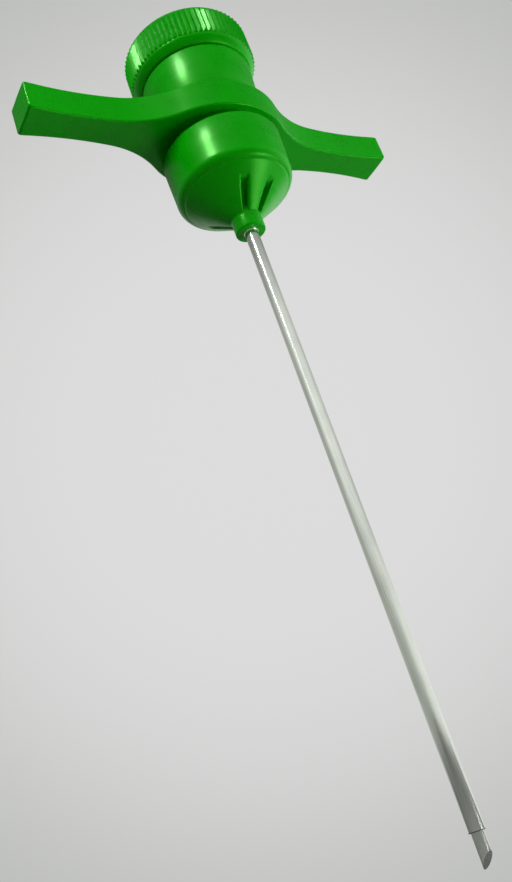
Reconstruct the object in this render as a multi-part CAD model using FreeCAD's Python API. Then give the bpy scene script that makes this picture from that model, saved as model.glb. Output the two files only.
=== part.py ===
import FreeCAD, Part
import math
import os

# Bone marrow biopsy needle with a winged handle, all lengths in millimetres.
# The origin is the centre of the nose's end face, where the cannula leaves the
# handle. +Z runs up to the cap, the needle points down, the wings lie on X.

# Fits
PART_GAP = 0.3
GLUE_GAP = 0.05
RUNNING_GAP = 0.025

# Needle
CANNULA_OD = 3.05
CANNULA_BORE = 2.39
SHANK_STEP = 0.18
CANNULA_EXPOSED = 128.8
CANNULA_TOP = 27.0
STYLET_REACH = 134.7
BEVEL_LENGTH = 2.6
BEVEL_AZIMUTH = -78.0

# Winged handle
HALF_SPAN = 46.7
WING_BOTTOM = 25.2
WING_TOP = 32.0
WING_END_HALF = 4.2
WING_WAIST_HALF = 3.35
WAIST_FROM_END = 12.7
HUB_FRONT = 13.5
HUB_ARC = 20.0
WING_ROOT_FILLET = 17.0
EDGE_ROUND = 1.0
CORNER_ROUND = 0.6

# Barrel under the wings
RIM_Z = 10.7
RIM_RADIUS = 13.2
BARREL_TAPER = 0.06
BARREL_TOP = 22.4
BARREL_EDGE = 0.3
GROOVE_RADIUS = 11.9
BARREL_BORE = 11.2
RECESS_DEPTH = 1.6
RECESS_RADIUS = 12.2
WEB_BOTTOM = 21.0
WEB_TOP = 31.0
WEB_BORE = 3.25

# Neck over the wings
NECK_BASE_RADIUS = 12.6
NECK_TOP_RADIUS = 13.3
NECK_EDGE = 0.25
SHOULDER_Z = 43.7
SPIGOT_RADIUS = 11.4
SPIGOT_TOP = 46.0
NECK_BORE = 10.2

# Nose
COLLAR_RADIUS = 3.44
COLLAR_HEIGHT = 3.4
RIB_END_RADIUS = 9.6
RIB_END_Z = 9.4
RIB_HALF_INNER = 1.15
RIB_HALF_OUTER = 2.45
POCKET_RADIUS = 9.9
POCKET_WIDTH_INNER = 1.1
POCKET_WIDTH_OUTER = 2.7
POCKET_DEPTH_INNER = 2.6
POCKET_DEPTH_OUTER = 4.2
PLATE_TOP = 15.6
BOSS_RADIUS = 3.8
BOSS_TOP = 16.6
NOSE_SLEEVE_TOP = 17.0
NOSE_SLEEVE_WALL = 2.0

# Ferrule and Luer socket
FERRULE_RADIUS = 3.2
FERRULE_FLANGE_RADIUS = 5.2
FERRULE_FLANGE = 2.0
LUER_MOUTH_RADIUS = 2.15
LUER_TAPER = 0.03
LUER_DEPTH = 7.5
LUER_TOP = 40.5
LUER_OUTER = 3.4
LUER_LUG_RADIUS = 3.95
LUER_LUG_HEIGHT = 1.2
LUER_FLANGE_RADIUS = 6.5
LUER_FLANGE = 1.6
CHANNEL_RADIUS = 1.5

# Lock ring
RING_FLANGE_RADIUS = 12.5
RING_INNER = 8.2
RING_SLEEVE_BOTTOM = 39.0
RING_SLEEVE_WALL = 1.1
RING_FLANGE = 1.4
SLOT_ANGLE = 26.0
SLOT_FLOOR = 11.5
LUG_ANGLE = 20.0
LUG_INNER = 11.75
LUG_BOTTOM = 44.2
LUG_HEIGHT = 1.5
KEY_HALF_WIDTH = 1.25

# Cap
CAP_RADIUS = 15.24
CAP_TOP = 54.0
BAND_BOTTOM = 45.8
CAP_SKIRT_RADIUS = 13.5
CAP_SKIRT_Z = SHOULDER_Z + PART_GAP
CAP_BORE = 12.9
SHELF_BOTTOM = 47.7
SHELF_TOP = 48.8
SHELF_RADIUS = 9.6
CHAMBER_RADIUS = 12.3
COVER_SEAT = 51.4
COVER_RADIUS = 13.3
COVER_DROP = 0.5
COVER_DISH = 0.4

# Stylet carrier
DISC_GAP = 0.25
STEM_RADIUS = 4.2
STEM_BOTTOM = 40.9
ANCHOR_RADIUS = 2.6
ANCHOR_BOTTOM = 43.0
ANCHOR_TOP = 47.5
STYLET_TOP = 50.0
DRAG_RING_SECTION = 0.55

Z_AXIS = FreeCAD.Vector(0, 0, 1)


def vec(x, y, z=0.0):
    """A point."""
    return FreeCAD.Vector(x, y, z)


def cylinder(radius, z0, z1):
    """A solid cylinder on the Z axis between two heights."""
    return Part.makeCylinder(radius, z1 - z0, vec(0, 0, z0))


def tube(outer, inner, z0, z1):
    """A plain ring on the Z axis between two heights."""
    return cylinder(outer, z0, z1).cut(cylinder(inner, z0, z1))


def turned(points):
    """A closed outline of (radius, z) points, turned about the Z axis."""
    wire = Part.makePolygon([vec(r, 0, z) for r, z in points] + [vec(points[0][0], 0, points[0][1])])
    return Part.Face(wire).revolve(vec(0, 0, 0), Z_AXIS, 360)


def sector(inner, outer, middle, width, z0, z1):
    """A block of a ring, given by its middle angle and its width in degrees."""
    ring = Part.makeCylinder(outer, z1 - z0, vec(0, 0, z0), Z_AXIS, width)
    ring.rotate(vec(0, 0, 0), Z_AXIS, middle - width / 2)
    if inner > 0:
        ring = ring.cut(cylinder(inner, z0 - 1, z1 + 1))
    return ring


def circle_meet(centre_a, radius_a, centre_b, radius_b):
    """The meeting point of two circles that lies on the right of the line from a to b."""
    dx = centre_b[0] - centre_a[0]
    dy = centre_b[1] - centre_a[1]
    span = math.hypot(dx, dy)
    along = (radius_a ** 2 - radius_b ** 2 + span ** 2) / (2 * span)
    off = math.sqrt(radius_a ** 2 - along ** 2)
    x = centre_a[0] + (along * dx + off * dy) / span
    y = centre_a[1] + (along * dy - off * dx) / span
    return x, y


def toward(start, end, distance):
    """The point at a distance from start on the way to end."""
    span = math.hypot(end[0] - start[0], end[1] - start[1])
    x = start[0] + (end[0] - start[0]) * distance / span
    y = start[1] + (end[1] - start[1]) * distance / span
    return x, y


def wing_quarter():
    """The arcs of one quarter of the handle's plan, from the wing's end to the hub's front.

    The long waist arc and the hub's arc are joined by a root fillet that is tangent to both.
    """
    dip = WING_END_HALF - WING_WAIST_HALF
    waist_x = HALF_SPAN - WAIST_FROM_END
    waist_radius = (WAIST_FROM_END ** 2 + dip ** 2) / (2 * dip)
    waist_centre = (waist_x, WING_WAIST_HALF + waist_radius)
    hub_centre = (0.0, HUB_FRONT - HUB_ARC)
    fillet_centre = circle_meet(
        hub_centre, HUB_ARC + WING_ROOT_FILLET, waist_centre, waist_radius - WING_ROOT_FILLET)
    on_waist = toward(waist_centre, fillet_centre, waist_radius)
    on_hub = toward(hub_centre, fillet_centre, HUB_ARC)
    between = ((on_waist[0] + on_hub[0]) / 2, (on_waist[1] + on_hub[1]) / 2)
    mid_fillet = toward(fillet_centre, between, WING_ROOT_FILLET)
    half_way = toward(hub_centre, (on_hub[0] / 2, HUB_FRONT), HUB_ARC)
    waist = [(HALF_SPAN, WING_END_HALF), (waist_x, WING_WAIST_HALF), on_waist]
    fillet = [on_waist, mid_fillet, on_hub]
    hub = [on_hub, half_way, (0.0, HUB_FRONT)]
    return [waist, fillet, hub]


def wing_slab():
    """Both wings and the hub as one slab with softened edges."""
    edges = []
    for sx, sy in ((1, 1), (-1, 1), (-1, -1), (1, -1)):
        for arc in wing_quarter():
            points = [vec(sx * x, sy * y, WING_BOTTOM) for x, y in arc]
            edges.append(Part.Arc(*points).toShape())
        if sy > 0:
            end = [vec(sx * HALF_SPAN, y * WING_END_HALF, WING_BOTTOM) for y in (-1, 1)]
            edges.append(Part.makeLine(*end))
    outline = Part.Wire(Part.__sortEdges__(edges))
    slab = Part.Face(outline).extrude(vec(0, 0, WING_TOP - WING_BOTTOM))
    corners = [e for e in slab.Edges if e.BoundBox.ZLength > 1 and abs(e.BoundBox.XMax) > HALF_SPAN - 0.1]
    corners += [e for e in slab.Edges if e.BoundBox.ZLength > 1 and e.BoundBox.XMin < 0.1 - HALF_SPAN
                and e not in corners]
    slab = slab.makeFillet(CORNER_ROUND, corners)
    rims = [e for e in slab.Edges if e.BoundBox.ZLength < 0.001]
    return slab.makeFillet(EDGE_ROUND, rims)


def barrel_radius(z):
    """The barrel's outer radius, which grows a little towards the wings."""
    return RIM_RADIUS + BARREL_TAPER * (z - RIM_Z)


def handle_body():
    """The winged handle moulding: wings, hub, barrel and neck around the middle web.

    A groove parts the barrel's top edge from the underside of the wings.
    """
    rim = EDGE_ROUND * 0.4
    top = barrel_radius(BARREL_TOP)
    barrel = turned([
        (0, RIM_Z), (RIM_RADIUS - rim, RIM_Z), (RIM_RADIUS, RIM_Z + rim),
        (top, BARREL_TOP - BARREL_EDGE), (top - BARREL_EDGE, BARREL_TOP), (0, BARREL_TOP)])
    core = cylinder(GROOVE_RADIUS, BARREL_TOP - 1, WING_BOTTOM + 1)
    neck = turned([
        (0, WING_TOP - 1), (NECK_BASE_RADIUS, WING_TOP - 1), (NECK_BASE_RADIUS, WING_TOP),
        (NECK_TOP_RADIUS, SHOULDER_Z - NECK_EDGE), (NECK_TOP_RADIUS - NECK_EDGE, SHOULDER_Z),
        (SPIGOT_RADIUS, SHOULDER_Z), (SPIGOT_RADIUS, SPIGOT_TOP), (0, SPIGOT_TOP)])
    body = wing_slab().fuse([core, barrel, neck])
    body = body.cut(cylinder(BARREL_BORE, RIM_Z - 1, WEB_BOTTOM))
    body = body.cut(cylinder(RECESS_RADIUS, RIM_Z - 1, RIM_Z + RECESS_DEPTH))
    body = body.cut(cylinder(NECK_BORE, WEB_TOP, SPIGOT_TOP + 1))
    body = body.cut(cylinder(WEB_BORE, WEB_BOTTOM - 1, WEB_TOP + 1))
    return body.removeSplitter()


def pocket_angles(radius):
    """The two angles between which a pocket lies at a radius, from the rib's middle, in degrees."""
    share = (radius - COLLAR_RADIUS) / (POCKET_RADIUS - COLLAR_RADIUS)
    half = RIB_HALF_INNER + (RIB_HALF_OUTER - RIB_HALF_INNER) * share
    width = POCKET_WIDTH_INNER + (POCKET_WIDTH_OUTER - POCKET_WIDTH_INNER) * share
    return math.degrees(math.asin(half / radius)), math.degrees(math.asin((half + width) / radius))


def nose_pocket():
    """The narrow pocket beside a rib that runs along X, over a floor steeper than the rib."""
    near_rib, near_side = pocket_angles(COLLAR_RADIUS)
    far_rib, far_side = pocket_angles(POCKET_RADIUS)

    def at(radius, angle):
        turn = math.radians(angle)
        return vec(radius * math.cos(turn), radius * math.sin(turn), -1)

    def arc(radius, start, end):
        return Part.Arc(at(radius, start), at(radius, (start + end) / 2), at(radius, end)).toShape()

    outline = Part.Wire([
        Part.makeLine(at(COLLAR_RADIUS, near_rib), at(POCKET_RADIUS, far_rib)),
        arc(POCKET_RADIUS, far_rib, far_side),
        Part.makeLine(at(POCKET_RADIUS, far_side), at(COLLAR_RADIUS, near_side)),
        arc(COLLAR_RADIUS, near_side, near_rib)])
    floor_inner = COLLAR_HEIGHT + POCKET_DEPTH_INNER
    floor_outer = RIB_END_Z + POCKET_DEPTH_OUTER
    wedge = Part.Face(outline).extrude(vec(0, 0, floor_outer + 2))
    under_floor = turned([
        (COLLAR_RADIUS / 2, -2), (COLLAR_RADIUS / 2, floor_inner), (COLLAR_RADIUS, floor_inner),
        (POCKET_RADIUS, floor_outer), (POCKET_RADIUS + 1, floor_outer), (POCKET_RADIUS + 1, -2)])
    return wedge.common(under_floor)


def nose_piece():
    """The nose that closes the barrel: a front and a back rib, each between two narrow pockets."""
    lip = 0.4
    flange = RECESS_RADIUS - GLUE_GAP
    sleeve = BARREL_BORE - GLUE_GAP
    seat = RIM_Z + RECESS_DEPTH
    rib_start = COLLAR_HEIGHT + lip / 2
    body = turned([
        (0, 0), (COLLAR_RADIUS - lip, 0), (COLLAR_RADIUS, lip), (COLLAR_RADIUS, COLLAR_HEIGHT),
        (COLLAR_RADIUS + lip / 2, rib_start), (RIB_END_RADIUS, RIB_END_Z), (flange, RIM_Z),
        (flange, seat), (sleeve, seat), (sleeve, NOSE_SLEEVE_TOP),
        (sleeve - NOSE_SLEEVE_WALL, NOSE_SLEEVE_TOP), (sleeve - NOSE_SLEEVE_WALL, PLATE_TOP),
        (BOSS_RADIUS, PLATE_TOP), (BOSS_RADIUS, BOSS_TOP), (0, BOSS_TOP)])
    pocket = nose_pocket()
    for pocket in (pocket, pocket.mirror(vec(0, 0, 0), vec(0, 1, 0))):
        for turn in (90, -90):
            turned_pocket = pocket.copy()
            turned_pocket.rotate(vec(0, 0, 0), Z_AXIS, turn)
            body = body.cut(turned_pocket)
    return body.cut(cylinder(shank_radius() + RUNNING_GAP, -1, BOSS_TOP + 1))


def shank_radius():
    """The radius of the cannula's thicker shank, which is inside the handle."""
    return CANNULA_OD / 2 + SHANK_STEP


def cannula():
    """The outer steel tube, cut square at its working end, with a thicker shank inside the handle."""
    shaft = cylinder(CANNULA_OD / 2, -CANNULA_EXPOSED, CANNULA_TOP)
    shank = cylinder(shank_radius(), 0, CANNULA_TOP)
    return shaft.fuse(shank).cut(cylinder(CANNULA_BORE / 2, -CANNULA_EXPOSED - 1, CANNULA_TOP + 1))


def cannula_ferrule():
    """The flanged steel sleeve on the cannula, held between the nose's boss and the web."""
    body = cylinder(FERRULE_RADIUS, BOSS_TOP, CANNULA_TOP)
    body = body.fuse(cylinder(FERRULE_FLANGE_RADIUS, WEB_BOTTOM - FERRULE_FLANGE, WEB_BOTTOM))
    return body.cut(cylinder(shank_radius(), BOSS_TOP - 1, CANNULA_TOP + 1)).removeSplitter()


def luer_radius(z):
    """The radius of the six percent Luer taper at a height inside the socket."""
    return LUER_MOUTH_RADIUS - LUER_TAPER * (LUER_TOP - z)


def luer_socket():
    """The female Luer fitting over the cannula, with its two outer lugs."""
    bottom = LUER_TOP - LUER_DEPTH
    body = turned([
        (CHANNEL_RADIUS, CANNULA_TOP), (FERRULE_RADIUS, CANNULA_TOP), (FERRULE_RADIUS, WEB_TOP),
        (LUER_FLANGE_RADIUS, WEB_TOP), (LUER_FLANGE_RADIUS, WEB_TOP + LUER_FLANGE),
        (LUER_OUTER, WEB_TOP + LUER_FLANGE), (LUER_OUTER, LUER_TOP), (LUER_MOUTH_RADIUS, LUER_TOP),
        (luer_radius(bottom), bottom), (CHANNEL_RADIUS, bottom)])
    for angle in (0, 180):
        body = body.fuse(sector(
            LUER_OUTER - 0.5, LUER_LUG_RADIUS, angle, 70, LUER_TOP - LUER_LUG_HEIGHT, LUER_TOP))
    return body.removeSplitter()


def lock_ring():
    """The bayonet ring in the neck's mouth, with two slots for the cap's lugs and a key notch."""
    sleeve = NECK_BORE - GLUE_GAP
    top = SPIGOT_TOP + RING_FLANGE
    body = turned([
        (RING_INNER, SPIGOT_TOP - 1), (sleeve - RING_SLEEVE_WALL, SPIGOT_TOP - 1),
        (sleeve - RING_SLEEVE_WALL, RING_SLEEVE_BOTTOM), (sleeve, RING_SLEEVE_BOTTOM),
        (sleeve, SPIGOT_TOP), (RING_FLANGE_RADIUS, SPIGOT_TOP), (RING_FLANGE_RADIUS, top),
        (RING_INNER, top)])
    for angle in (0, 180):
        body = body.cut(sector(SLOT_FLOOR, RING_FLANGE_RADIUS + 1, angle, SLOT_ANGLE, SPIGOT_TOP - 1, top + 1))
    notch = KEY_HALF_WIDTH + PART_GAP
    reach = SHELF_RADIUS - RING_INNER + 2
    box = Part.makeBox(2 * notch, reach, top + 1 - (top - RING_FLANGE), vec(-notch, SHELF_RADIUS - reach, top - RING_FLANGE))
    return body.cut(box)


def carrier_disc_levels():
    """The heights of the carrier's disc between the cap's shelf and the cap's cover."""
    return SHELF_TOP + DISC_GAP, COVER_SEAT - DISC_GAP


def stylet_carrier():
    """The part that holds the stylet: disc, key, stem and male Luer taper in one."""
    low, high = carrier_disc_levels()
    disc = CHAMBER_RADIUS - PART_GAP
    boss = SHELF_RADIUS - PART_GAP
    tip = LUER_TOP - LUER_DEPTH + PART_GAP
    mid = (low + high) / 2
    half_groove = DRAG_RING_SECTION + GLUE_GAP
    groove = CHAMBER_RADIUS - 2 * DRAG_RING_SECTION - 2 * GLUE_GAP
    body = turned([
        (0, tip), (luer_radius(tip) - RUNNING_GAP, tip), (luer_radius(LUER_TOP) - RUNNING_GAP, LUER_TOP),
        (luer_radius(LUER_TOP) - RUNNING_GAP, STEM_BOTTOM), (STEM_RADIUS, STEM_BOTTOM),
        (STEM_RADIUS, SHELF_BOTTOM), (boss, SHELF_BOTTOM), (boss, low), (disc, low),
        (disc, mid - half_groove), (groove, mid - half_groove), (groove, mid + half_groove),
        (disc, mid + half_groove), (disc, high), (0, high)])
    key_outer = boss - 0.1
    key_bottom = SPIGOT_TOP + PART_GAP
    key = Part.makeBox(2 * KEY_HALF_WIDTH, 1.6, SHELF_BOTTOM + 0.5 - key_bottom,
                       vec(-KEY_HALF_WIDTH, key_outer - 1.8, key_bottom))
    body = body.fuse(key)
    body = body.cut(cylinder(CANNULA_BORE / 2, tip - 1, STYLET_TOP))
    return body.cut(cylinder(ANCHOR_RADIUS, ANCHOR_BOTTOM, ANCHOR_TOP)).removeSplitter()


def stylet_radius():
    """The stylet's radius, a running fit in the cannula."""
    return CANNULA_BORE / 2 - RUNNING_GAP


def stylet_rod():
    """The solid steel stylet, cut off obliquely at its point."""
    radius = stylet_radius()
    rod = cylinder(radius, -STYLET_REACH, STYLET_TOP)
    slope = BEVEL_LENGTH / (2 * radius)
    wedge = Part.Face(Part.makePolygon([
        vec(-radius - 1, 0, -STYLET_REACH - slope), vec(radius + 1, 0, -STYLET_REACH + BEVEL_LENGTH + slope),
        vec(radius + 1, 0, -STYLET_REACH - 5), vec(-radius - 1, 0, -STYLET_REACH - 5),
        vec(-radius - 1, 0, -STYLET_REACH - slope)])).extrude(vec(0, 4 * radius, 0))
    wedge.translate(vec(0, -2 * radius, 0))
    wedge.rotate(vec(0, 0, 0), Z_AXIS, BEVEL_AZIMUTH)
    return rod.cut(wedge)


def stylet_anchor():
    """The steel bush fixed on the stylet inside the carrier."""
    return tube(ANCHOR_RADIUS, stylet_radius(), ANCHOR_BOTTOM, ANCHOR_TOP)


def drag_ring():
    """The rubber ring in the carrier's groove that keeps the cap from turning by itself."""
    low, high = carrier_disc_levels()
    centre = CHAMBER_RADIUS - GLUE_GAP - DRAG_RING_SECTION
    return Part.makeTorus(centre, DRAG_RING_SECTION, vec(0, 0, (low + high) / 2))


def cap_shell():
    """The turning lock cap: outer band, sloping skirt, inner shelf and two bayonet lugs."""
    edge = 0.4
    body = turned([
        (0, CAP_SKIRT_Z), (CAP_SKIRT_RADIUS, CAP_SKIRT_Z), (CAP_RADIUS, BAND_BOTTOM),
        (CAP_RADIUS, CAP_TOP - edge), (CAP_RADIUS - edge, CAP_TOP), (0, CAP_TOP)])
    body = body.cut(cylinder(CAP_BORE, CAP_SKIRT_Z - 1, SHELF_BOTTOM))
    body = body.cut(cylinder(SHELF_RADIUS, SHELF_BOTTOM - 1, SHELF_TOP + 1))
    body = body.cut(cylinder(CHAMBER_RADIUS, SHELF_TOP, COVER_SEAT + 1))
    body = body.cut(cylinder(COVER_RADIUS, COVER_SEAT, CAP_TOP + 1))
    for angle in (0, 180):
        body = body.fuse(sector(LUG_INNER, CAP_BORE + 0.4, angle, LUG_ANGLE, LUG_BOTTOM, LUG_BOTTOM + LUG_HEIGHT))
    return body.removeSplitter()


def cap_cover():
    """The dished disc that closes the cap over the carrier."""
    edge = COVER_RADIUS - GLUE_GAP
    top = CAP_TOP - COVER_DROP
    return turned([
        (0, COVER_SEAT), (edge, COVER_SEAT), (edge, top), (edge - 2, top),
        (edge - 3, top - COVER_DISH), (0, top - COVER_DISH)])


NODES = {
    "handle_body": handle_body,
    "nose_piece": nose_piece,
    "cannula": cannula,
    "cannula_ferrule": cannula_ferrule,
    "luer_socket": luer_socket,
    "lock_ring": lock_ring,
    "stylet_rod": stylet_rod,
    "stylet_carrier": stylet_carrier,
    "stylet_anchor": stylet_anchor,
    "drag_ring": drag_ring,
    "cap_shell": cap_shell,
    "cap_cover": cap_cover,
}

os.makedirs("parts", exist_ok=True)
for name, make in NODES.items():
    shape = make()
    print(name, "valid", shape.isValid(), "solids", len(shape.Solids), "volume", round(shape.Volume, 1))
    if len(shape.Solids) == 1:
        shape = shape.Solids[0]
    shape.exportStep("parts/" + name + ".step")
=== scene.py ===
"""Looks of a bone marrow biopsy needle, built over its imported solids.

The winged handle, the ribbed nose, the steel cannula, the stylet and the knurled lock cap are
modelled here in fine detail. The fittings inside the neck keep their solids and get finishes.
"""

import logging
import math
from dataclasses import dataclass
from enum import Enum
from typing import Callable, Optional, Sequence, Union

import bmesh
import bpy
from mathutils import Matrix, Vector


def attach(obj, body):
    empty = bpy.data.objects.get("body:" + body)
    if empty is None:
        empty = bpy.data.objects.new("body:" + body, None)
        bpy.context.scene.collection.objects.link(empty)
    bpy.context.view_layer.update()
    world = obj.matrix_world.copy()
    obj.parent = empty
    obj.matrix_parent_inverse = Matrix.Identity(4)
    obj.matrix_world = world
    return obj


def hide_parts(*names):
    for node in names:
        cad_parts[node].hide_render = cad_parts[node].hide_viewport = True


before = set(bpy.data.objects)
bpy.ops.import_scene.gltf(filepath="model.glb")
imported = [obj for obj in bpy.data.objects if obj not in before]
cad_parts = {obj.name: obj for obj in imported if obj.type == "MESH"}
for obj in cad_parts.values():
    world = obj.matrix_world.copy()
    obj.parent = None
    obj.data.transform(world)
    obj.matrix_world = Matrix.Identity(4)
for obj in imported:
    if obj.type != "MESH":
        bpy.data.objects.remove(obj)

LOG = logging.getLogger("needle")
MM = 0.001
LAMP_TARGET = Vector((0, 0, 0.025))
Point = tuple[float, float]
Place = tuple[float, float, float]
Colour = tuple[float, float, float]


class Body(Enum):
    """The rigid bodies that a piece can ride on."""

    HANDLE = "handle"
    STYLET = "stylet"
    CAP = "cap"


class Glow(Enum):
    """What a lamp does: it lights the surfaces, or it is a white card that only shows in them."""

    FILL = "fill"
    CARD = "card"


class Num:
    """A shader value with the usual arithmetic, each step adding a Math node."""

    def __init__(self, shader: "Shader", socket: bpy.types.NodeSocket) -> None:
        """Wraps a socket.

        Args:
            shader: the shader whose tree the socket is in.
            socket: the output that carries the value.
        """
        self.shader = shader
        self.socket = socket

    def _math(self, operation: str, *values: Union["Num", float]) -> "Num":
        """Adds a Math node.

        Args:
            operation: the node's operation.
            values: its inputs, in order.

        Returns:
            The node's result.
        """
        node = self.shader.node("ShaderNodeMath", {"operation": operation}, dict(enumerate(values)))
        return Num(self.shader, node.outputs[0])

    def __add__(self, other: Union["Num", float]) -> "Num":
        """Sum."""
        return self._math("ADD", self, other)

    def __radd__(self, other: float) -> "Num":
        """Sum, from the right."""
        return self._math("ADD", other, self)

    def __sub__(self, other: Union["Num", float]) -> "Num":
        """Difference."""
        return self._math("SUBTRACT", self, other)

    def __rsub__(self, other: float) -> "Num":
        """Difference, from the right."""
        return self._math("SUBTRACT", other, self)

    def __mul__(self, other: Union["Num", float]) -> "Num":
        """Product."""
        return self._math("MULTIPLY", self, other)

    def __rmul__(self, other: float) -> "Num":
        """Product, from the right."""
        return self._math("MULTIPLY", other, self)

    def most(self, other: Union["Num", float]) -> "Num":
        """The larger of two values."""
        return self._math("MAXIMUM", self, other)

    def ramp(self, low: float, high: float) -> "Num":
        """A smooth step from 0 to 1.

        Args:
            low: the value up to which it is 0.
            high: the value from which it is 1.

        Returns:
            The step.
        """
        node = self.shader.node(
            "ShaderNodeMapRange",
            {"interpolation_type": "SMOOTHSTEP"},
            {"Value": self, "From Min": low, "From Max": high},
        )
        return Num(self.shader, node.outputs[0])


Link = Union[Num, bpy.types.NodeSocket, float, Sequence[float]]


class Shader:
    """A node tree that is filled one node at a time."""

    def __init__(self, tree: bpy.types.NodeTree) -> None:
        """Clears the tree and keeps it."""
        self.tree = tree
        self.tree.nodes.clear()

    def node(
        self, kind: str, settings: dict[str, object], inputs: dict[Union[str, int], Link]
    ) -> bpy.types.Node:
        """Adds one node.

        Args:
            kind: the node's type.
            settings: its own settings, which are made first.
            inputs: values or links for its sockets, by name or place.

        Returns:
            The node.
        """
        made = self.tree.nodes.new(kind)
        for key, value in settings.items():
            setattr(made, key, value)
        for key, value in inputs.items():
            socket = made.inputs[key]
            if isinstance(value, Num):
                value = value.socket
            if isinstance(value, bpy.types.NodeSocket):
                self.tree.links.new(value, socket)
            else:
                socket.default_value = value
        return made

    def place(self, scale: Sequence[float] = (1, 1, 1)) -> bpy.types.NodeSocket:
        """Object coordinates, stretched.

        Args:
            scale: the scale on each axis.

        Returns:
            The coordinates.
        """
        coords = self.node("ShaderNodeTexCoord", {}, {})
        sockets = {"Vector": coords.outputs["Object"], "Scale": tuple(scale)}
        mapping = self.node("ShaderNodeMapping", {}, sockets)
        return mapping.outputs[0]

    def noise(self, scale: float, detail: float = 2.0, stretch: Sequence[float] = (1, 1, 1)) -> Num:
        """Noise on object coordinates.

        Args:
            scale: cells to the metre.
            detail: octaves.
            stretch: scale on each axis before the noise.

        Returns:
            The noise, from 0 to 1.
        """
        sockets = {"Vector": self.place(stretch), "Scale": scale, "Detail": detail}
        made = self.node("ShaderNodeTexNoise", {}, sockets)
        return Num(self, made.outputs["Fac"])

    def along(self, vector: Link, axis: Sequence[float]) -> Num:
        """How far a vector reaches along an axis."""
        made = self.node("ShaderNodeVectorMath", {"operation": "DOT_PRODUCT"}, {0: vector, 1: axis})
        return Num(self, made.outputs["Value"])

    def blend(self, low: Link, high: Link, amount: Link) -> bpy.types.NodeSocket:
        """Mixes two colours by an amount from 0 to 1."""
        mix = self.node("ShaderNodeMix", {"data_type": "RGBA"}, {0: amount, 6: low, 7: high})
        return mix.outputs[2]

    def bump(self, height: Num, strength: float, distance: float) -> bpy.types.NodeSocket:
        """Turns a height into a normal.

        Args:
            height: the height, from 0 to 1.
            strength: how much of the relief shows.
            distance: the relief's depth in metres.

        Returns:
            The normal.
        """
        made = self.node(
            "ShaderNodeBump", {}, {"Height": height, "Strength": strength, "Distance": distance}
        )
        return made.outputs[0]

    def close(
        self, surface: bpy.types.NodeSocket, output: str = "ShaderNodeOutputMaterial"
    ) -> None:
        """Ends the tree with its output node."""
        self.node(output, {}, {"Surface": surface})


def rgba(colour: Colour) -> tuple[float, float, float, float]:
    """A colour with full alpha."""
    return (*colour, 1.0)


@dataclass(frozen=True)
class MouldedPlastic:
    """Moulded plastic: a gloss that varies with flow, fine scratches and a faint texture."""

    name: str
    colour: Colour
    deep: Colour
    gloss: float = 0.2
    spread: float = 0.1
    specular: float = 0.5
    tint: Colour = (1.0, 1.0, 1.0)
    grain: float = 0.06
    relief: float = 0.0002
    scuffing: float = 0.05
    flow_cells: float = 38.0
    cloud_cells: float = 240.0
    scuff_cells: float = 900.0
    skin_cells: float = 2600.0

    def build(self) -> bpy.types.Material:
        """Makes the material.

        Returns:
            The material, ready for a mesh.
        """
        material = bpy.data.materials.new(self.name)
        material.use_nodes = True
        shader = Shader(material.node_tree)
        flow = shader.noise(self.flow_cells, 3.0)
        cloud = shader.noise(self.cloud_cells, 2.0)
        scuff = shader.noise(self.scuff_cells, 4.0, (1.0, 0.25, 1.0)).ramp(0.6, 0.85)
        tone = (flow * 0.6 + cloud * 0.4).ramp(0.25, 0.6)
        skin = shader.noise(self.skin_cells, 2.0)
        height = skin * 0.5 + cloud * 0.5
        surface = shader.node(
            "ShaderNodeBsdfPrincipled",
            {},
            {
                "Base Color": shader.blend(rgba(self.deep), rgba(self.colour), tone),
                "Roughness": self.gloss + self.spread * cloud + self.scuffing * scuff,
                "Specular IOR Level": self.specular,
                "Specular Tint": rgba(self.tint),
                "Normal": shader.bump(height, self.grain, self.relief),
            },
        )
        shader.close(surface.outputs[0])
        return material


@dataclass(frozen=True)
class Facet:
    """A plane that a piece ends in, and how deep in metres the painted shade that darkens the piece
    there reaches.
    """

    point: Place
    normal: Place
    depth: float


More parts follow.
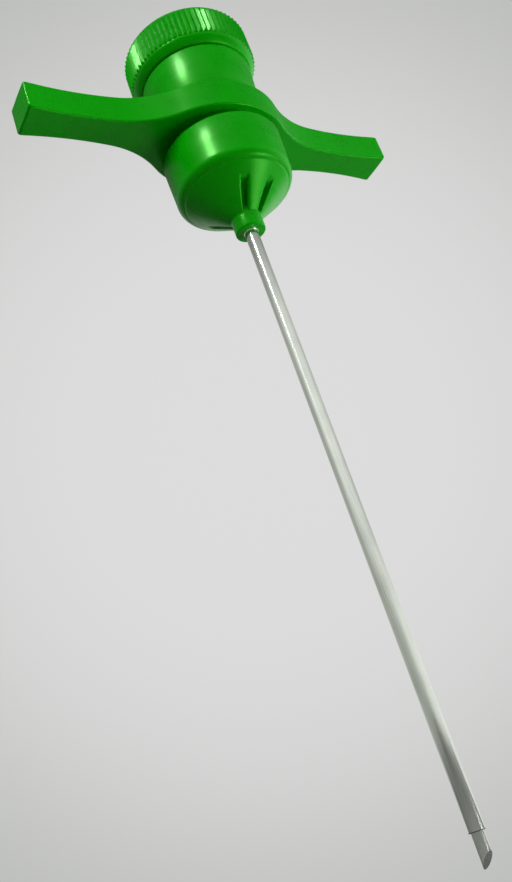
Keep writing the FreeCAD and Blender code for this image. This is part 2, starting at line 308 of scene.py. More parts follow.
@dataclass(frozen=True)
class WorkedSteel:
    """Stainless steel with the marks of drawing, grinding or turning, with painted shade laid
    near-black on a facet.
    """

    name: str
    colour: Colour = (0.71, 0.755, 0.685)
    dull: Colour = (0.57, 0.61, 0.55)
    # Painted shade: the near-black tone laid on a facet, where the stylet's bevel and the cannula's
    # end look dark.
    ground: Colour = (0.10, 0.11, 0.10)
    stretch: tuple[float, float, float] = (1.0, 1.0, 0.02)
    smooth: float = 0.12
    spread: float = 0.08
    facet: Optional[Facet] = None
    facet_rough: float = 0.35
    grain: float = 0.12
    relief: float = 0.00003
    mark_cells: float = 5200.0
    stain_cells: float = 160.0

    def on_facet(self, shader: Shader) -> Union[Num, float]:
        """How much of the painted shade a point has, from its distance to the facet's plane.

        Args:
            shader: the shader that the nodes go in.

        Returns:
            The share, from 0 to 1.
        """
        if self.facet is None:
            return 0.0
        places = {0: shader.place(), 1: self.facet.point}
        off = shader.node("ShaderNodeVectorMath", {"operation": "SUBTRACT"}, places)
        distance = shader.along(off.outputs[0], self.facet.normal)
        return 1.0 - distance.most(-1.0 * distance).ramp(0.5 * self.facet.depth, self.facet.depth)

    def build(self) -> bpy.types.Material:
        """Makes the material.

        Returns:
            The material, ready for a mesh.
        """
        material = bpy.data.materials.new(self.name)
        material.use_nodes = True
        shader = Shader(material.node_tree)
        marks = shader.noise(self.mark_cells, 3.0, self.stretch)
        stain = shader.noise(self.stain_cells, 3.0)
        tone = (marks * 0.7 + stain * 0.3).ramp(0.3, 0.62)
        colour = shader.blend(rgba(self.dull), rgba(self.colour), tone)
        share = self.on_facet(shader)
        # Painted shade: the facet is blended towards near-black.
        if self.facet is not None:
            colour = shader.blend(colour, rgba(self.ground), share)
        surface = shader.node(
            "ShaderNodeBsdfPrincipled",
            {},
            {
                "Base Color": colour,
                "Roughness": self.smooth + self.spread * marks + self.facet_rough * share,
                "Metallic": 1.0,
                "Normal": shader.bump(marks, self.grain, self.relief),
            },
        )
        shader.close(surface.outputs[0])
        return material


@dataclass(frozen=True)
class SoftRubber:
    """Black rubber with a dusty bloom."""

    name: str
    colour: Colour = (0.02, 0.02, 0.02)
    bloom: Colour = (0.06, 0.06, 0.06)
    smooth: float = 0.55
    spread: float = 0.25
    grain: float = 0.1
    relief: float = 0.0001
    dust_cells: float = 1400.0

    def build(self) -> bpy.types.Material:
        """Makes the material.

        Returns:
            The material, ready for a mesh.
        """
        material = bpy.data.materials.new(self.name)
        material.use_nodes = True
        shader = Shader(material.node_tree)
        dust = shader.noise(self.dust_cells, 4.0)
        bloom = dust.ramp(0.45, 0.8)
        surface = shader.node(
            "ShaderNodeBsdfPrincipled",
            {},
            {
                "Base Color": shader.blend(rgba(self.colour), rgba(self.bloom), bloom),
                "Roughness": self.smooth + self.spread * dust,
                "Normal": shader.bump(dust, self.grain, self.relief),
            },
        )
        shader.close(surface.outputs[0])
        return material


class Workpiece:
    """A mesh in the making. Lengths are given in millimetres and kept in metres."""

    def __init__(self) -> None:
        """Starts with an empty mesh."""
        self.bm = bmesh.new()

    def lathe(
        self, outline: Sequence[Point], steps: int, closed: bool = True
    ) -> list[bmesh.types.BMVert]:
        """Turns an outline about the Z axis.

        Args:
            outline: (radius, height) points in order.
            steps: how many steps a full turn takes.
            closed: whether the outline closes on itself.

        Returns:
            The vertices of the turned form.
        """
        before = set(self.bm.verts)
        verts = [self.bm.verts.new((r * MM, 0.0, z * MM)) for r, z in outline]
        ends = verts[1:] + verts[:1] if closed else verts[1:]
        pairs = [pair for pair in zip(verts, ends) if pair[0].co.x + pair[1].co.x > 1e-9]
        edges = [self.bm.edges.new(pair) for pair in pairs]
        bmesh.ops.spin(
            self.bm,
            geom=verts + edges,
            cent=(0, 0, 0),
            axis=(0, 0, 1),
            dvec=(0, 0, 0),
            angle=2 * math.pi,
            steps=steps,
            use_merge=True,
            use_normal_flip=False,
            use_duplicate=False,
        )
        made = [v for v in self.bm.verts if v not in before]
        bmesh.ops.remove_doubles(self.bm, verts=made, dist=1e-7)
        made = [v for v in self.bm.verts if v not in before]
        self.recalculate()
        return made

    def wedge(
        self, inner: float, outer: float, middle: float, width: float, low: float, high: float
    ) -> None:
        """Adds a block of a ring.

        Args:
            inner: inner radius.
            outer: outer radius.
            middle: the block's middle angle in degrees.
            width: the angle that it covers in degrees.
            low: its lower height.
            high: its upper height.
        """
        start = Matrix.Rotation(math.radians(middle - width / 2), 4, "Z")
        corners = [(inner, low), (outer, low), (outer, high), (inner, high)]
        verts = [self.bm.verts.new(start @ Vector((r * MM, 0.0, z * MM))) for r, z in corners]
        face = self.bm.faces.new(verts)
        bmesh.ops.spin(
            self.bm,
            geom=verts + face.edges[:] + [face],
            cent=(0, 0, 0),
            axis=(0, 0, 1),
            dvec=(0, 0, 0),
            angle=math.radians(width),
            steps=6,
            use_merge=False,
            use_normal_flip=False,
            use_duplicate=False,
        )
        self.recalculate()

    def recalculate(self) -> None:
        """Points all faces outwards."""
        bmesh.ops.recalc_face_normals(self.bm, faces=self.bm.faces[:])

    def soften(
        self, offset: float, segments: int, chosen: Callable[[bmesh.types.BMEdge], bool]
    ) -> None:
        """Rounds the chosen edges.

        Args:
            offset: the rounding's width in millimetres.
            segments: how many faces it has across.
            chosen: says whether an edge is rounded.
        """
        edges = [e for e in self.bm.edges if len(e.link_faces) == 2 and chosen(e)]
        bmesh.ops.bevel(
            self.bm,
            geom=edges,
            offset=offset * MM,
            offset_type="OFFSET",
            affect="EDGES",
            segments=segments,
            profile=0.5,
            material=-1,
            clamp_overlap=True,
        )

    def shape(
        self, verts: Sequence[bmesh.types.BMVert], move: Callable[[float, float, float], Place]
    ) -> None:
        """Moves vertices in radius, angle and height.

        Args:
            verts: the vertices.
            move: takes radius, angle in radians and height in millimetres, and gives the new ones.
        """
        for v in verts:
            r = math.hypot(v.co.x, v.co.y) / MM
            if r < 1e-4:
                continue
            radius, angle, height = move(r, math.atan2(v.co.y, v.co.x), v.co.z / MM)
            v.co = (radius * MM * math.cos(angle), radius * MM * math.sin(angle), height * MM)

    def finish(
        self,
        name: str,
        material: bpy.types.Material,
        body: Body,
        node: Optional[str],
        crease: float = 32.0,
    ) -> bpy.types.Object:
        """Makes the object and hands it to the frame.

        Args:
            name: the piece's name.
            material: its finish.
            body: the body that it rides on.
            node: the solid that it stands for, if any.
            crease: edges that turn more than this, in degrees, stay sharp.

        Returns:
            The object.
        """
        limit = math.radians(crease)
        for face in self.bm.faces:
            face.smooth = True
        for edge in self.bm.edges:
            edge.smooth = len(edge.link_faces) == 2 and edge.calc_face_angle(0.0) < limit
        mesh = bpy.data.meshes.new(name)
        self.bm.to_mesh(mesh)
        self.bm.free()
        mesh.materials.append(material)
        made = bpy.data.objects.new(name, mesh)
        bpy.context.scene.collection.objects.link(made)
        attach(made, body.value)
        if node:
            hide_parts(node)
        LOG.info("%s: %d faces", name, len(mesh.polygons))
        return made


def smooth_step(value: float, low: float, high: float) -> float:
    """A smooth step from 0 at low to 1 at high."""
    share = min(1.0, max(0.0, (value - low) / (high - low)))
    return share * share * (3 - 2 * share)


def bend(start: Point, first: float, last: float, radius: float, steps: int) -> list[Point]:
    """Points along a rounding of a turned outline.

    Args:
        start: its first point.
        first: its direction there, in degrees above the outward line.
        last: its direction at its end.
        radius: its radius.
        steps: how many pieces it has.

    Returns:
        The points, with the first one.
    """
    lean = math.radians(first)
    turns = [lean + (math.radians(last) - lean) * i / steps for i in range(steps + 1)]
    middle = (start[0] - radius * math.sin(lean), start[1] + radius * math.cos(lean))
    return [(middle[0] + radius * math.sin(t), middle[1] - radius * math.cos(t)) for t in turns]


@dataclass
class WingedHandle:
    """The green moulding: wings, hub, rounded underside, barrel and neck. Sizes in millimetres."""

    half_span: float = 46.7
    bottom: float = 24.85
    top: float = 32.1
    end_half: float = 4.3
    waist_half: float = 3.5
    waist_x: float = 34.0
    hub_front: float = 13.6
    hub_arc: float = 20.0
    root_fillet: float = 24.0
    core_inside: float = 11.6
    edge_round: float = 0.55
    corner_round: float = 0.42
    groove_radius: float = 11.9
    shoulder_z: float = 43.7
    spigot_top: float = 46.0
    rim_z: float = 10.7
    rim_radius: float = 13.5
    rim_round: float = 2.3
    border: float = 0.05
    taper: float = 0.035
    bowl_z: float = 22.4
    bore: float = 3.25
    chamber: float = 11.2
    web_low: float = 21.0
    web_high: float = 31.0
    seat_radius: float = 12.2
    seat_z: float = 12.3
    neck_core: float = 12.3
    neck_bore: float = 10.2
    spigot_radius: float = 11.4

    def _meeting(self, ca: Point, ra: float, cb: Point, rb: float) -> Point:
        """Finds where two circles meet, on the right of the line between their centres.

        Args:
            ca: the first circle's centre.
            ra: its radius.
            cb: the second circle's centre.
            rb: its radius.

        Returns:
            The meeting point.
        """
        dx, dy = cb[0] - ca[0], cb[1] - ca[1]
        span = math.hypot(dx, dy)
        along = (ra**2 - rb**2 + span**2) / (2 * span)
        off = math.sqrt(ra**2 - along**2)
        return ca[0] + (along * dx + off * dy) / span, ca[1] + (along * dy - off * dx) / span

    def arcs(self) -> list[tuple[Point, float, int]]:
        """The arcs of a quarter of the plan, from the wing's corner to the hub's front.

        Returns:
            For each arc its centre, its angle in radians and its number of steps.
        """
        dip, run = self.end_half - self.waist_half, self.half_span - self.waist_x
        waist_radius = (run**2 + dip**2) / (2 * dip)
        waist = (self.waist_x, self.waist_half + waist_radius)
        hub = (0.0, self.hub_front - self.hub_arc)
        reach_hub = self.hub_arc + self.root_fillet
        root = self._meeting(hub, reach_hub, waist, waist_radius - self.root_fillet)

        def bearing(centre: Point, point: Point) -> float:
            """The direction from a centre to a point, in radians."""
            return math.atan2(point[1] - centre[1], point[0] - centre[0])

        to_root = bearing(waist, root)
        to_hub = bearing(root, hub)
        return [
            (waist, to_root - bearing(waist, (self.half_span, self.end_half)), 14),
            (root, to_hub - to_root, 12),
            (hub, math.pi / 2 - bearing(hub, root), 14),
        ]

    def _arc(
        self,
        bm: bmesh.types.BMesh,
        start: bmesh.types.BMVert,
        centre: Point,
        angle: float,
        steps: int,
    ) -> bmesh.types.BMVert:
        """Draws an arc of edges.

        Args:
            bm: the mesh.
            start: the vertex that it starts from.
            centre: its centre.
            angle: its angle in radians.
            steps: its number of edges.

        Returns:
            The vertex at its far end.
        """
        made = bmesh.ops.spin(
            bm,
            geom=[start],
            cent=(centre[0] * MM, centre[1] * MM, 0),
            axis=(0, 0, 1),
            dvec=(0, 0, 0),
            angle=angle,
            steps=steps,
            use_merge=False,
            use_normal_flip=False,
            use_duplicate=False,
        )
        return [g for g in made["geom_last"] if isinstance(g, bmesh.types.BMVert)][0]

    def _slab(self, work: Workpiece) -> None:
        """Adds the wings and the hub as a slab round the core, with rounded edges.

        Args:
            work: the piece that it is added to.
        """
        bm = work.bm
        z = self.bottom * MM
        first = bm.verts.new((self.half_span * MM, 0, z))
        last = bm.verts.new((self.half_span * MM, self.end_half * MM, z))
        ring = bm.verts.new((self.core_inside * MM, 0, z))
        bm.edges.new((first, last))
        bm.edges.new((first, ring))
        for centre, angle, steps in self.arcs():
            last = self._arc(bm, last, centre, angle, steps)
        self._arc(bm, ring, (0.0, 0.0), math.pi / 2, 24)
        self._mirror(bm, "X")
        bmesh.ops.contextual_create(bm, geom=bm.edges[:])
        self._mirror(bm, "Y")
        grown = bmesh.ops.extrude_face_region(bm, geom=bm.faces[:], use_keep_orig=True)
        risen = [g for g in grown["geom"] if isinstance(g, bmesh.types.BMVert)]
        bmesh.ops.translate(bm, verts=risen, vec=(0, 0, (self.top - self.bottom) * MM))
        work.recalculate()
        work.soften(self.edge_round, 8, lambda e: self._level(e) and self._outside(e))
        corner = self._near_end
        work.soften(self.corner_round, 5, lambda e: e.calc_face_angle(0.0) > 0.6 and corner(e))
        self._keep_flat(bm)

    def _mirror(self, bm: bmesh.types.BMesh, axis: str) -> None:
        """Adds the mirror image across an axis and joins the two.

        Args:
            bm: the mesh.
            axis: the axis's name.
        """
        geom = bm.verts[:] + bm.edges[:] + bm.faces[:]
        bmesh.ops.mirror(bm, geom=geom, matrix=Matrix.Identity(4), merge_dist=1e-6, axis=axis)
        bmesh.ops.remove_doubles(bm, verts=bm.verts[:], dist=1e-6)

    def _keep_flat(self, bm: bmesh.types.BMesh) -> None:
        """Trims the ends and puts a narrow border inside the flat faces, so that they shade flat.

        Args:
            bm: the slab's mesh.
        """
        end = self.half_span * MM
        for v in bm.verts:
            v.co.x = min(end, max(-end, v.co.x))
        bm.normal_update()
        tall = 0.5 * (self.top - self.bottom) * MM
        level = [f for f in bm.faces if len(f.verts) > 20]
        walls = [f for f in bm.faces if abs(f.normal.z) < 0.05 and self._height(f) > tall]
        upright = [f for f in walls if self._clear(f)]
        for group in (level, upright):
            bmesh.ops.inset_region(
                bm, faces=group, thickness=self.border * MM, use_boundary=True, use_even_offset=True
            )

    def _height(self, face: bmesh.types.BMFace) -> float:
        """How tall a face is, in metres."""
        heights = [v.co.z for v in face.verts]
        return max(heights) - min(heights)

    def _clear(self, face: bmesh.types.BMFace) -> bool:
        """Whether a face lies outside the hole for the core."""
        return face.calc_center_median().xy.length > (self.core_inside + 0.5) * MM

    def _level(self, edge: bmesh.types.BMEdge) -> bool:
        """Whether an edge lies level and its faces turn at it."""
        a, b = edge.verts[0].co, edge.verts[1].co
        return abs(a.z - b.z) < 0.1 * MM and edge.calc_face_angle(0.0) > 1.2

    def _near_end(self, edge: bmesh.types.BMEdge) -> bool:
        """Whether an edge is at one of the corners of a wing's end.

        Args:
            edge: the edge.

        Returns:
            True if all of it is.
        """
        far = (self.half_span - 1.1 * self.edge_round) * MM
        wide = (self.end_half - 1.1 * self.edge_round) * MM
        return all(abs(v.co.x) > far and abs(v.co.y) > wide for v in edge.verts)

    def _outside(self, edge: bmesh.types.BMEdge) -> bool:
        """Whether an edge lies outside the hole for the core."""
        return min(v.co.xy.length for v in edge.verts) > (self.core_inside + 0.3) * MM

    def barrel(self, z: float) -> float:
        """The barrel's radius at a height."""
        return self.rim_radius + self.taper * (z - self.rim_z)

    def build(self, material: bpy.types.Material) -> None:
        """Makes the moulding.

        Args:
            material: its finish.
        """
        work = Workpiece()
        self._slab(work)
        bowl, shoulder, spigot = self.bowl_z, self.shoulder_z, self.spigot_top
        rim = self.barrel(bowl)
        work.lathe(
            [
                (self.bore, self.web_low), (self.chamber, self.web_low),
                (self.chamber, self.seat_z), (self.seat_radius, self.seat_z),
                (self.seat_radius, self.rim_z + 0.02),
                *bend((12.45, self.rim_z + 0.14), 30.0, 87.0, self.rim_round, 12),
                (self.barrel(13.1), 13.1), (self.barrel(16.5), 16.5), (rim - 0.01, bowl - 0.25),
                (rim - 0.1, bowl - 0.08), (rim - 0.28, bowl), (self.groove_radius + 0.3, bowl),
                (self.groove_radius, bowl + 0.3), (self.groove_radius, self.bottom + 1.0),
                (self.neck_core, self.bottom + 1.1), (self.neck_core, 31.6), (12.62, 32.4),
                (13.28, shoulder - 0.4), (13.2, shoulder - 0.12), (13.05, shoulder),
                (self.spigot_radius, shoulder), (self.spigot_radius, spigot - 0.15),
                (self.spigot_radius - 0.15, spigot), (self.neck_bore + 0.1, spigot),
                (self.neck_bore, spigot - 0.1), (self.neck_bore, self.web_high),
                (self.bore, self.web_high),
            ],
            128,
        )
        work.finish("winged_handle", material, Body.HANDLE, "handle_body")


@dataclass
class RibbedNose:
    """The barrel's underside: a front and a back rib between pockets, a collar. Millimetres."""

    collar: float = 3.44
    collar_top: float = 3.4
    rim_z: float = 10.7
    rib_inner: float = 1.15
    rib_outer: float = 2.45
    rib_end: float = 9.6
    rib_end_z: float = 8.75
    slope_end: float = 12.15
    pocket_end: float = 9.9
    pocket_fade: float = 4.8
    width_inner: float = 1.1
    width_outer: float = 2.2
    depth_inner: float = 2.0
    depth_outer: float = 3.2
    ease: float = 0.9
    bore: float = 1.73
    sleeve: float = 11.15
    sleeve_top: float = 17.0
    floor_z: float = 15.6
    boss: float = 3.8
    rib_column: float = 15.0
    side_column: float = 35.0
    wall_across: tuple[float, ...] = (-0.40, -0.20, -0.05, 0.07, 0.16, 0.25, 0.36, 0.52)
    wall_depth: tuple[float, ...] = (0.0, 0.012, 0.05, 0.15, 0.5, 0.85, 0.96, 1.0)

    def rib_height(self, radius: float) -> float:
        """Finds the sloping face's height, where its steep part runs softly into the flatter rim.

        Args:
            radius: the radius of the place.

        Returns:
            The height.
        """
        share = (radius - self.collar) / (self.rib_end - self.collar)
        steep = self.collar_top + 0.2 + (self.rib_end_z - self.collar_top - 0.2) * share
        rise = (self.rim_z - self.rib_end_z) / (self.slope_end - self.rib_end)
        flat = self.rib_end_z + rise * (radius - self.rib_end)
        near = max(0.0, self.ease - abs(steep - flat))
        return min(steep, flat) - near**2 / (4 * self.ease)

    def columns(self, radius: float) -> list[Place]:
        """Where the columns of points go across one side of a rib and its pocket.

        Args:
            radius: the points' radius.

        Returns:
            For each marked column its angle from the rib's middle before and after the pressing, in
            degrees, and its share of the pocket's depth.
        """
        share = min(1.0, (radius - self.collar) / (self.pocket_end - self.collar))
        half = self.rib_inner + (self.rib_outer - self.rib_inner) * share
        side = half + self.width_inner + (self.width_outer - self.width_inner) * share
        squeeze = min(1.0, (side - half) / 1.6)
        marks = [(0.0, 0.0, 0.0)]
        walls = list(zip(self.wall_across, self.wall_depth))
        for step, (across, depth) in enumerate(walls):
            turn = math.degrees(math.asin(min(0.99, (half + across * squeeze) / radius)))
            marks.append((self.rib_column + step - 3, turn, depth))
        for step, (across, depth) in enumerate(reversed(walls)):
            turn = math.degrees(math.asin(min(0.99, (side - across * squeeze) / radius)))
            marks.append((self.side_column + step - 3, turn, depth))
        marks.append((90.0, 90.0, 0.0))
        return marks

    def press(self, radius: float, angle: float, height: float) -> Place:
        """Presses the pockets beside the ribs into the sloping face.

        Args:
            radius: the point's radius.
            angle: its angle in radians.
            height: its height.

        Returns:
            The pressed point's radius, angle and height.
        """
        degrees = math.degrees(angle)
        rib = 90.0 if degrees > 0 else -90.0
        off = degrees - rib
        marks = self.columns(radius)
        place = next(i for i in range(1, len(marks)) if abs(off) <= marks[i][0] + 1e-4)
        low, high = marks[place - 1], marks[place]
        part = (abs(off) - low[0]) / (high[0] - low[0])
        turn = low[1] + (high[1] - low[1]) * part
        depth = low[2] + (high[2] - low[2]) * part
        depth *= 1 - smooth_step(radius, self.pocket_end - self.pocket_fade, self.pocket_end + 0.2)
        share = (radius - self.collar) / (self.pocket_end - self.collar)
        full = self.depth_inner + (self.depth_outer - self.depth_inner) * share
        kept = smooth_step(radius, self.pocket_end + 1.2, self.pocket_end + 0.3)
        turn = abs(off) + (turn - abs(off)) * kept
        return radius, math.radians(rib + math.copysign(turn, off)), height + depth * full

    def build(self, material: bpy.types.Material) -> None:
        """Makes the nose.

        Args:
            material: its finish.
        """
        edge = self.collar
        outline = [
            (self.bore, 0.0), (edge - 0.38, 0.0), (edge - 0.18, 0.06), (edge - 0.06, 0.18),
            (edge, 0.38), (edge, self.collar_top - 0.4), (edge + 0.01, self.collar_top),
        ]
        slope = [3.58, 3.66, 3.8] + [4.0 + 0.3 * i for i in range(18)]
        slope += [9.25, 9.4, 9.5, 9.58, 9.66, 9.74, 9.82, 9.9]
        slope += [10.0, 10.3, 10.6, 10.9, 11.2, 11.5, 11.8, 12.0]
        outline += [(r, self.rib_height(r)) for r in slope]
        outline += [
            (12.2, self.rim_z + 0.02), (12.2, 12.28), (self.sleeve, 12.3),
            (self.sleeve, self.sleeve_top), (self.sleeve - 2.0, self.sleeve_top),
            (self.sleeve - 2.0, self.floor_z), (self.boss, self.floor_z),
            (self.boss, self.floor_z + 1.0), (self.bore, self.floor_z + 1.0),
        ]
        work = Workpiece()
        verts = work.lathe(outline, 360)
        near, far = (self.collar + 0.1) * MM, (self.pocket_end + 1.4) * MM
        sloping = [v for v in verts if near < v.co.xy.length < far]
        work.shape([v for v in sloping if v.co.z < (self.rim_z - 0.1) * MM], self.press)
        work.recalculate()
        work.finish("ribbed_nose", material, Body.HANDLE, "nose_piece", 38.0)


@dataclass
class SteelNeedle:
    """The cannula and the stylet inside it. Sizes in millimetres."""

    cannula_radius: float = 1.525
    cannula_bore: float = 1.195
    shank_radius: float = 1.705
    exposed: float = 128.8
    cannula_top: float = 27.0
    stylet_radius: float = 1.17
    reach: float = 134.7
    stylet_top: float = 50.0
    bevel: float = 2.6
    bevel_azimuth: float = -78.0

    def point_facet(self) -> Facet:
        """Finds the plane that cuts the stylet's point off.

        Returns:
            The plane, with the depth of the painted shade that darkens the bevel.
        """
        turn = math.radians(self.bevel_azimuth)
        across = 2 * self.stylet_radius
        normal = Vector((math.cos(turn) * self.bevel, math.sin(turn) * self.bevel, -across))
        middle = (self.bevel / 2 - self.reach) * MM
        return Facet((0.0, 0.0, middle), tuple(normal.normalized()), 0.04 * MM)

    def end_facet(self) -> Facet:
        """The plane that the cannula's working end is cut in, with the depth of the painted shade
        that darkens that end.
        """
        return Facet((0.0, 0.0, -self.exposed * MM), (0.0, 0.0, 1.0), 0.3 * MM)

    def build_cannula(self, material: bpy.types.Material) -> None:
        """Makes the outer tube, with a fine chamfer at its working end.

        Args:
            material: its finish.
        """
        work = Workpiece()
        end = -self.exposed
        work.lathe(
            [
                (self.cannula_bore, end), (self.cannula_radius - 0.12, end),
                (self.cannula_radius - 0.03, end + 0.05), (self.cannula_radius, end + 0.16),
                (self.cannula_radius, -64.0), (self.cannula_radius, 0.0), (self.shank_radius, 0.0),
                (self.shank_radius, self.cannula_top), (self.cannula_bore, self.cannula_top),
                (self.cannula_bore, -64.0),
            ],
            72,
        )
        work.finish("cannula_tube", material, Body.HANDLE, "cannula")

    def build_stylet(self, material: bpy.types.Material) -> None:
        """Makes the solid rod and cuts its point off obliquely.

        Args:
            material: its finish.
        """
        work = Workpiece()
        low = -self.reach
        edge, top = self.stylet_radius, self.stylet_top
        work.lathe([(0, low), (edge, low), (edge, -60.0), (edge, top), (0, top)], 72, closed=False)
        point = self.point_facet()
        cut = bmesh.ops.bisect_plane(
            work.bm,
            geom=work.bm.verts[:] + work.bm.edges[:] + work.bm.faces[:],
            plane_co=point.point,
            plane_no=point.normal,
            clear_outer=True,
        )
        rim = [g for g in cut["geom_cut"] if isinstance(g, bmesh.types.BMEdge)]
        bmesh.ops.contextual_create(work.bm, geom=rim)
        work.recalculate()
        end = (low + 4) * MM
        work.soften(0.04, 2, lambda e: e.calc_face_angle(0.0) > 0.45 and e.verts[0].co.z < end)
        work.finish("stylet_point_rod", material, Body.STYLET, "stylet_rod")


@dataclass
class LockCap:
    """The turning cap: knurled band, skirt, inner shelf, lugs and top cover. Millimetres."""

    radius: float = 15.236
    ridge: float = 0.5
    ridges: int = 76
    band_low: float = 45.8
    top: float = 54.0

    def knurl(self, radius: float, angle: float, height: float) -> Place:
        """Raises the band's straight ridges.

        Args:
            radius: the point's radius.
            angle: its angle in radians.
            height: its height.

        Returns:
            The raised point's radius, angle and height.
        """
        base = self.radius - self.ridge
        if radius < base - 0.01 or height < self.band_low - 0.01:
            return radius, angle, height
        rise = smooth_step(height, self.band_low, self.band_low + 0.45)
        rise *= 1 - smooth_step(height, self.top - 0.85, self.top - 0.3)
        wave = math.acos(math.cos(self.ridges * angle)) / math.pi
        return radius + self.ridge * rise * (1 - wave), angle, height

    def build_shell(self, material: bpy.types.Material) -> None:
        """Makes the cap's shell.

        Args:
            material: its finish.
        """
        base = self.radius - self.ridge
        outline = [
            (12.9, 44.0), (13.35, 44.0), (13.5, 44.08), (13.65, 44.2), (14.2, 44.75),
            (base - 0.12, 45.38), (base, 45.6), (base, self.band_low), (base, 45.95), (base, 46.1),
            (base, 46.25), (base, 47.5), (base, 50.0), (base, 52.4), (base, 53.15), (base, 53.35),
            (base, 53.55), (base, 53.7), (base - 0.12, 53.88), (base - 0.35, 54.0), (13.5, 54.0),
            (13.34, 53.9), (13.3, 53.7), (13.3, 51.4), (12.3, 51.4), (12.3, 48.8), (9.7, 48.8),
            (9.6, 48.7), (9.6, 47.8), (9.7, 47.7), (12.9, 47.7),
        ]
        work = Workpiece()
        verts = work.lathe(outline, self.ridges * 8)
        work.shape(verts, self.knurl)
        for angle in (0.0, 180.0):
            work.wedge(11.75, 13.3, angle, 20.0, 44.2, 45.7)
        work.recalculate()
        work.finish("knurled_cap", material, Body.CAP, "cap_shell", 40.0)

    def build_cover(self, material: bpy.types.Material) -> None:
        """Makes the dished cover with its fine ring and moulding gate mark.

        Args:
            material: its finish.
        """
        outline = [
            (0, 51.4), (13.2, 51.4), (13.25, 51.5), (13.25, 53.3), (13.15, 53.45), (12.95, 53.5),
            (11.5, 53.5), (11.2, 53.44), (10.5, 53.14), (10.2, 53.1), (8.4, 53.1), (8.3, 53.18),
            (8.1, 53.18), (8.0, 53.1), (1.5, 53.1), (1.35, 53.02), (1.1, 53.0), (0.55, 53.0),
            (0.45, 53.1), (0, 53.12),
        ]
        work = Workpiece()
        work.lathe(outline, 160, closed=False)
        work.finish("cap_top_cover", material, Body.CAP, "cap_cover", 40.0)


@dataclass
class InnerFittings:
    """The fittings inside the neck and the cap, which keep their solids and get finishes."""

    natural: tuple[str, ...] = ("luer_socket", "lock_ring", "stylet_carrier")
    turned: tuple[str, ...] = ("cannula_ferrule", "stylet_anchor")
    soft: tuple[str, ...] = ("drag_ring",)

    def dress(self, nodes: Sequence[str], material: bpy.types.Material) -> None:
        """Gives one finish to several solids.

        Args:
            nodes: the solids' names.
            material: their finish.
        """
        for name in nodes:
            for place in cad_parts[name].material_slots:
                place.material = material
            LOG.info("%s: keeps its solid", name)


@dataclass(frozen=True)
class Lamp:
    """A soft rectangular lamp that looks at the handle.

    Its bearing is in degrees from the front towards +X, its height angle in degrees, its distance
    and its width and height in metres, and its power in watts.
    """

    name: str
    azimuth: float
    elevation: float
    distance: float
    size: tuple[float, float]
    power: float
    glow: Glow

    def build(self) -> None:
        """Adds the lamp."""
        a, e = math.radians(self.azimuth), math.radians(self.elevation)
        way = Vector((math.sin(a) * math.cos(e), -math.cos(a) * math.cos(e), math.sin(e)))
        data = bpy.data.lights.new(self.name, "AREA")
        data.shape = "RECTANGLE"
        data.size, data.size_y = self.size
        data.energy = self.power
        made = bpy.data.objects.new(self.name, data)
        bpy.context.scene.collection.objects.link(made)
        made.location = LAMP_TARGET + way * self.distance
        made.rotation_euler = way.to_track_quat("Z", "Y").to_euler()
        made.visible_camera = False
        made.visible_diffuse = self.glow is Glow.FILL
        made.visible_glossy = self.glow is Glow.CARD


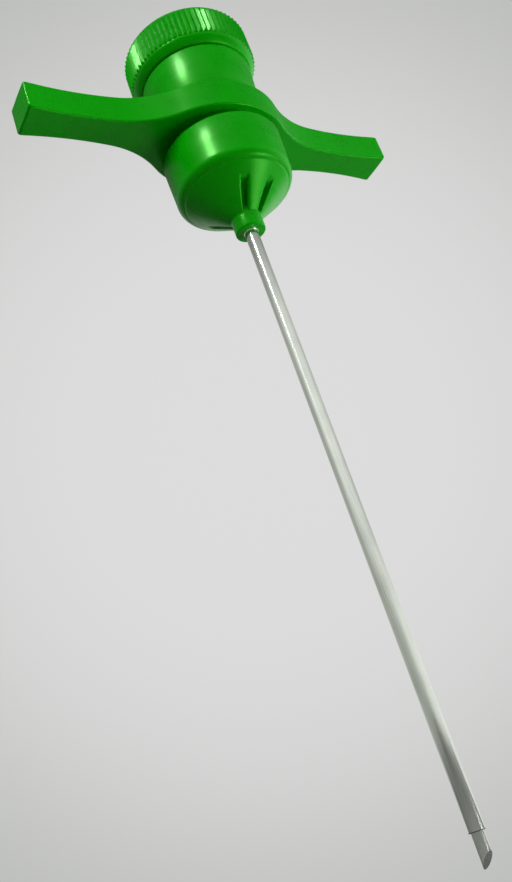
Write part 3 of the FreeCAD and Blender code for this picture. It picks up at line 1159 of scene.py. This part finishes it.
@dataclass
class Studio:
    """The camera, lamps, world and floor. Lengths in metres, angles in degrees."""

    lens: float = 40.375
    centre: tuple[float, float, float] = (-0.11904, -0.13962, -0.12644)
    aim: tuple[float, float, float] = (0.5412, 0.7422, 0.3958)
    right: tuple[float, float, float] = (0.8399, -0.4535, -0.2981)
    floor_z: float = -0.35
    floor_half: float = 2.0
    fill_lamps: tuple[Lamp, ...] = (
        Lamp("key", -58.0, 28.0, 0.60, (0.34, 0.36), 2.4, Glow.FILL),
        Lamp("top_front", -22.0, 48.0, 0.60, (0.34, 0.34), 1.2, Glow.FILL),
        Lamp("low_front", 34.0, -38.0, 0.42, (0.17, 0.17), 0.45, Glow.FILL),
        Lamp("low_right", 74.0, -18.0, 0.60, (0.30, 0.34), 2.7, Glow.FILL),
        Lamp("right_back", 102.0, 14.0, 0.60, (0.34, 0.34), 1.9, Glow.FILL),
        Lamp("back", 170.0, 22.0, 0.60, (0.40, 0.40), 1.2, Glow.FILL),
    )
    cards: tuple[Lamp, ...] = (
        Lamp("key_card", -57.0, 41.0, 0.60, (0.09, 0.20), 3.9, Glow.CARD),
        Lamp("low_card", 46.0, -44.0, 0.42, (0.14, 0.14), 0.55, Glow.CARD),
    )

    def camera(self) -> None:
        """Sets the camera where the photograph was taken from."""
        data = bpy.data.cameras.new("camera")
        data.lens = self.lens
        data.sensor_width = 36.0
        data.clip_start = 0.005
        made = bpy.data.objects.new("camera", data)
        bpy.context.scene.collection.objects.link(made)
        back = -Vector(self.aim).normalized()
        right = Vector(self.right).normalized()
        up = back.cross(right).normalized()
        right = up.cross(back)
        turn = Matrix((right, up, back)).transposed().to_4x4()
        made.matrix_world = Matrix.Translation(self.centre) @ turn
        bpy.context.scene.camera = made

    def _mirrored(self, shader: Shader, way: bpy.types.NodeSocket, up: Num) -> bpy.types.NodeSocket:
        """Works out what shiny surfaces mirror: a bright band at the level of the handle, brightest
        at the front, and little light well above and below it.

        Args:
            shader: the world's shader.
            way: the direction that a ray takes.
            up: its height.

        Returns:
            The colour.
        """
        shade = shader.along(way, (-0.95, 0.3, 0.0)).ramp(-0.9, 1.0)
        bright = shader.blend((1.0, 1.0, 0.99, 1), (0.66, 0.66, 0.65, 1), up.ramp(0.10, 0.30))
        sides = shader.blend(bright, (0.46, 0.47, 0.45, 1), shade)
        glare = shader.along(way, (-0.34, -0.94, 0.0)).ramp(-0.3, 1.0) * up.ramp(0.05, 0.36)
        level = up.ramp(-0.5, -0.28) * (1.0 - up.ramp(0.50, 0.60))
        band = shader.blend(sides, (1.0, 1.0, 1.0, 1), glare)
        return shader.blend((0.13, 0.14, 0.13, 1), band, level)

    def world(self) -> None:
        """Makes the backdrop that the camera sees, what surfaces mirror, and a plain low fill."""
        world = bpy.data.worlds.new("studio")
        bpy.context.scene.world = world
        world.use_nodes = True
        shader = Shader(world.node_tree)
        way = shader.node("ShaderNodeTexCoord", {}, {}).outputs["Generated"]
        up = Num(shader, shader.node("ShaderNodeSeparateXYZ", {}, {0: way}).outputs["Z"])
        edge = shader.along(way, self.aim).ramp(0.86, 1.0)
        seen = shader.blend((0.49, 0.50, 0.48, 1), (0.72, 0.72, 0.72, 1), edge)
        fill = shader.blend((0.03, 0.03, 0.03, 1), (0.20, 0.20, 0.20, 1), up.ramp(-0.7, 0.6))
        path = shader.node("ShaderNodeLightPath", {}, {})
        glossy = Num(shader, path.outputs["Is Glossy Ray"])
        mirrors = glossy.most(Num(shader, path.outputs["Is Transmission Ray"]))
        indirect = shader.blend(fill, self._mirrored(shader, way, up), mirrors)
        colour = shader.blend(indirect, seen, path.outputs["Is Camera Ray"])
        light = shader.node("ShaderNodeBackground", {}, {"Color": colour, "Strength": 1.0})
        shader.close(light.outputs[0], "ShaderNodeOutputWorld")

    def floor(self) -> None:
        """Lays a plain pale floor well under the needle's point."""
        work = bmesh.new()
        bmesh.ops.create_grid(work, x_segments=2, y_segments=2, size=self.floor_half)
        bmesh.ops.translate(work, verts=work.verts[:], vec=(0, 0, self.floor_z))
        mesh = bpy.data.meshes.new("floor")
        work.to_mesh(mesh)
        work.free()
        material = bpy.data.materials.new("floor_paint")
        material.use_nodes = True
        shader = Shader(material.node_tree)
        speck = shader.noise(30.0, 3.0)
        path = shader.node("ShaderNodeLightPath", {}, {})
        pale = shader.blend((0.66, 0.66, 0.65, 1), (0.70, 0.70, 0.69, 1), speck)
        camera = Num(shader, path.outputs["Is Camera Ray"])
        seen = camera.most(Num(shader, path.outputs["Is Glossy Ray"]))
        colour = shader.blend((0.16, 0.16, 0.16, 1), pale, seen)
        paint = {"Base Color": colour, "Roughness": 0.7 + 0.1 * speck}
        surface = shader.node("ShaderNodeBsdfPrincipled", {}, paint)
        shader.close(surface.outputs[0])
        mesh.materials.append(material)
        made = bpy.data.objects.new("floor", mesh)
        bpy.context.scene.collection.objects.link(made)

    def build(self) -> None:
        """Sets up the camera, the world, the floor and the lamps."""
        self.camera()
        self.world()
        self.floor()
        for lamp in self.fill_lamps + self.cards:
            lamp.build()
        bpy.context.scene.view_settings.view_transform = "Standard"


def main() -> None:
    """Builds the finishes, every sub-assembly in order, and the studio."""
    logging.basicConfig(level=logging.INFO, format="%(message)s")
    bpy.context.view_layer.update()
    needle = SteelNeedle()
    green = MouldedPlastic(
        "green_gloss_plastic",
        (0.0012, 0.325, 0.0005),
        (0.001, 0.28, 0.0004),
        gloss=0.24,
        spread=0.08,
        specular=0.32,
        tint=(0.2, 1.0, 0.12),
    ).build()
    natural = MouldedPlastic(
        "natural_plastic", (0.70, 0.72, 0.66), (0.60, 0.62, 0.57), gloss=0.35, grain=0.1
    ).build()
    # The cannula's steel: a ring of painted shade darkens its cut end.
    drawn = WorkedSteel("drawn_steel", facet=needle.end_facet()).build()
    # The stylet's steel: its ground bevel is rougher and is made near-black with painted shade.
    ground = WorkedSteel(
        "ground_steel", stretch=(1.0, 1.0, 0.05), smooth=0.14, facet=needle.point_facet()
    ).build()
    turned = WorkedSteel("turned_steel", stretch=(0.05, 0.05, 1.0), smooth=0.26).build()
    rubber = SoftRubber("seal_rubber").build()
    WingedHandle().build(green)
    RibbedNose().build(green)
    needle.build_cannula(drawn)
    needle.build_stylet(ground)
    cap = LockCap()
    cap.build_shell(green)
    cap.build_cover(green)
    inner = InnerFittings()
    inner.dress(inner.natural, natural)
    inner.dress(inner.turned, turned)
    inner.dress(inner.soft, rubber)
    Studio().build()


if __name__ == "__main__":
    main()
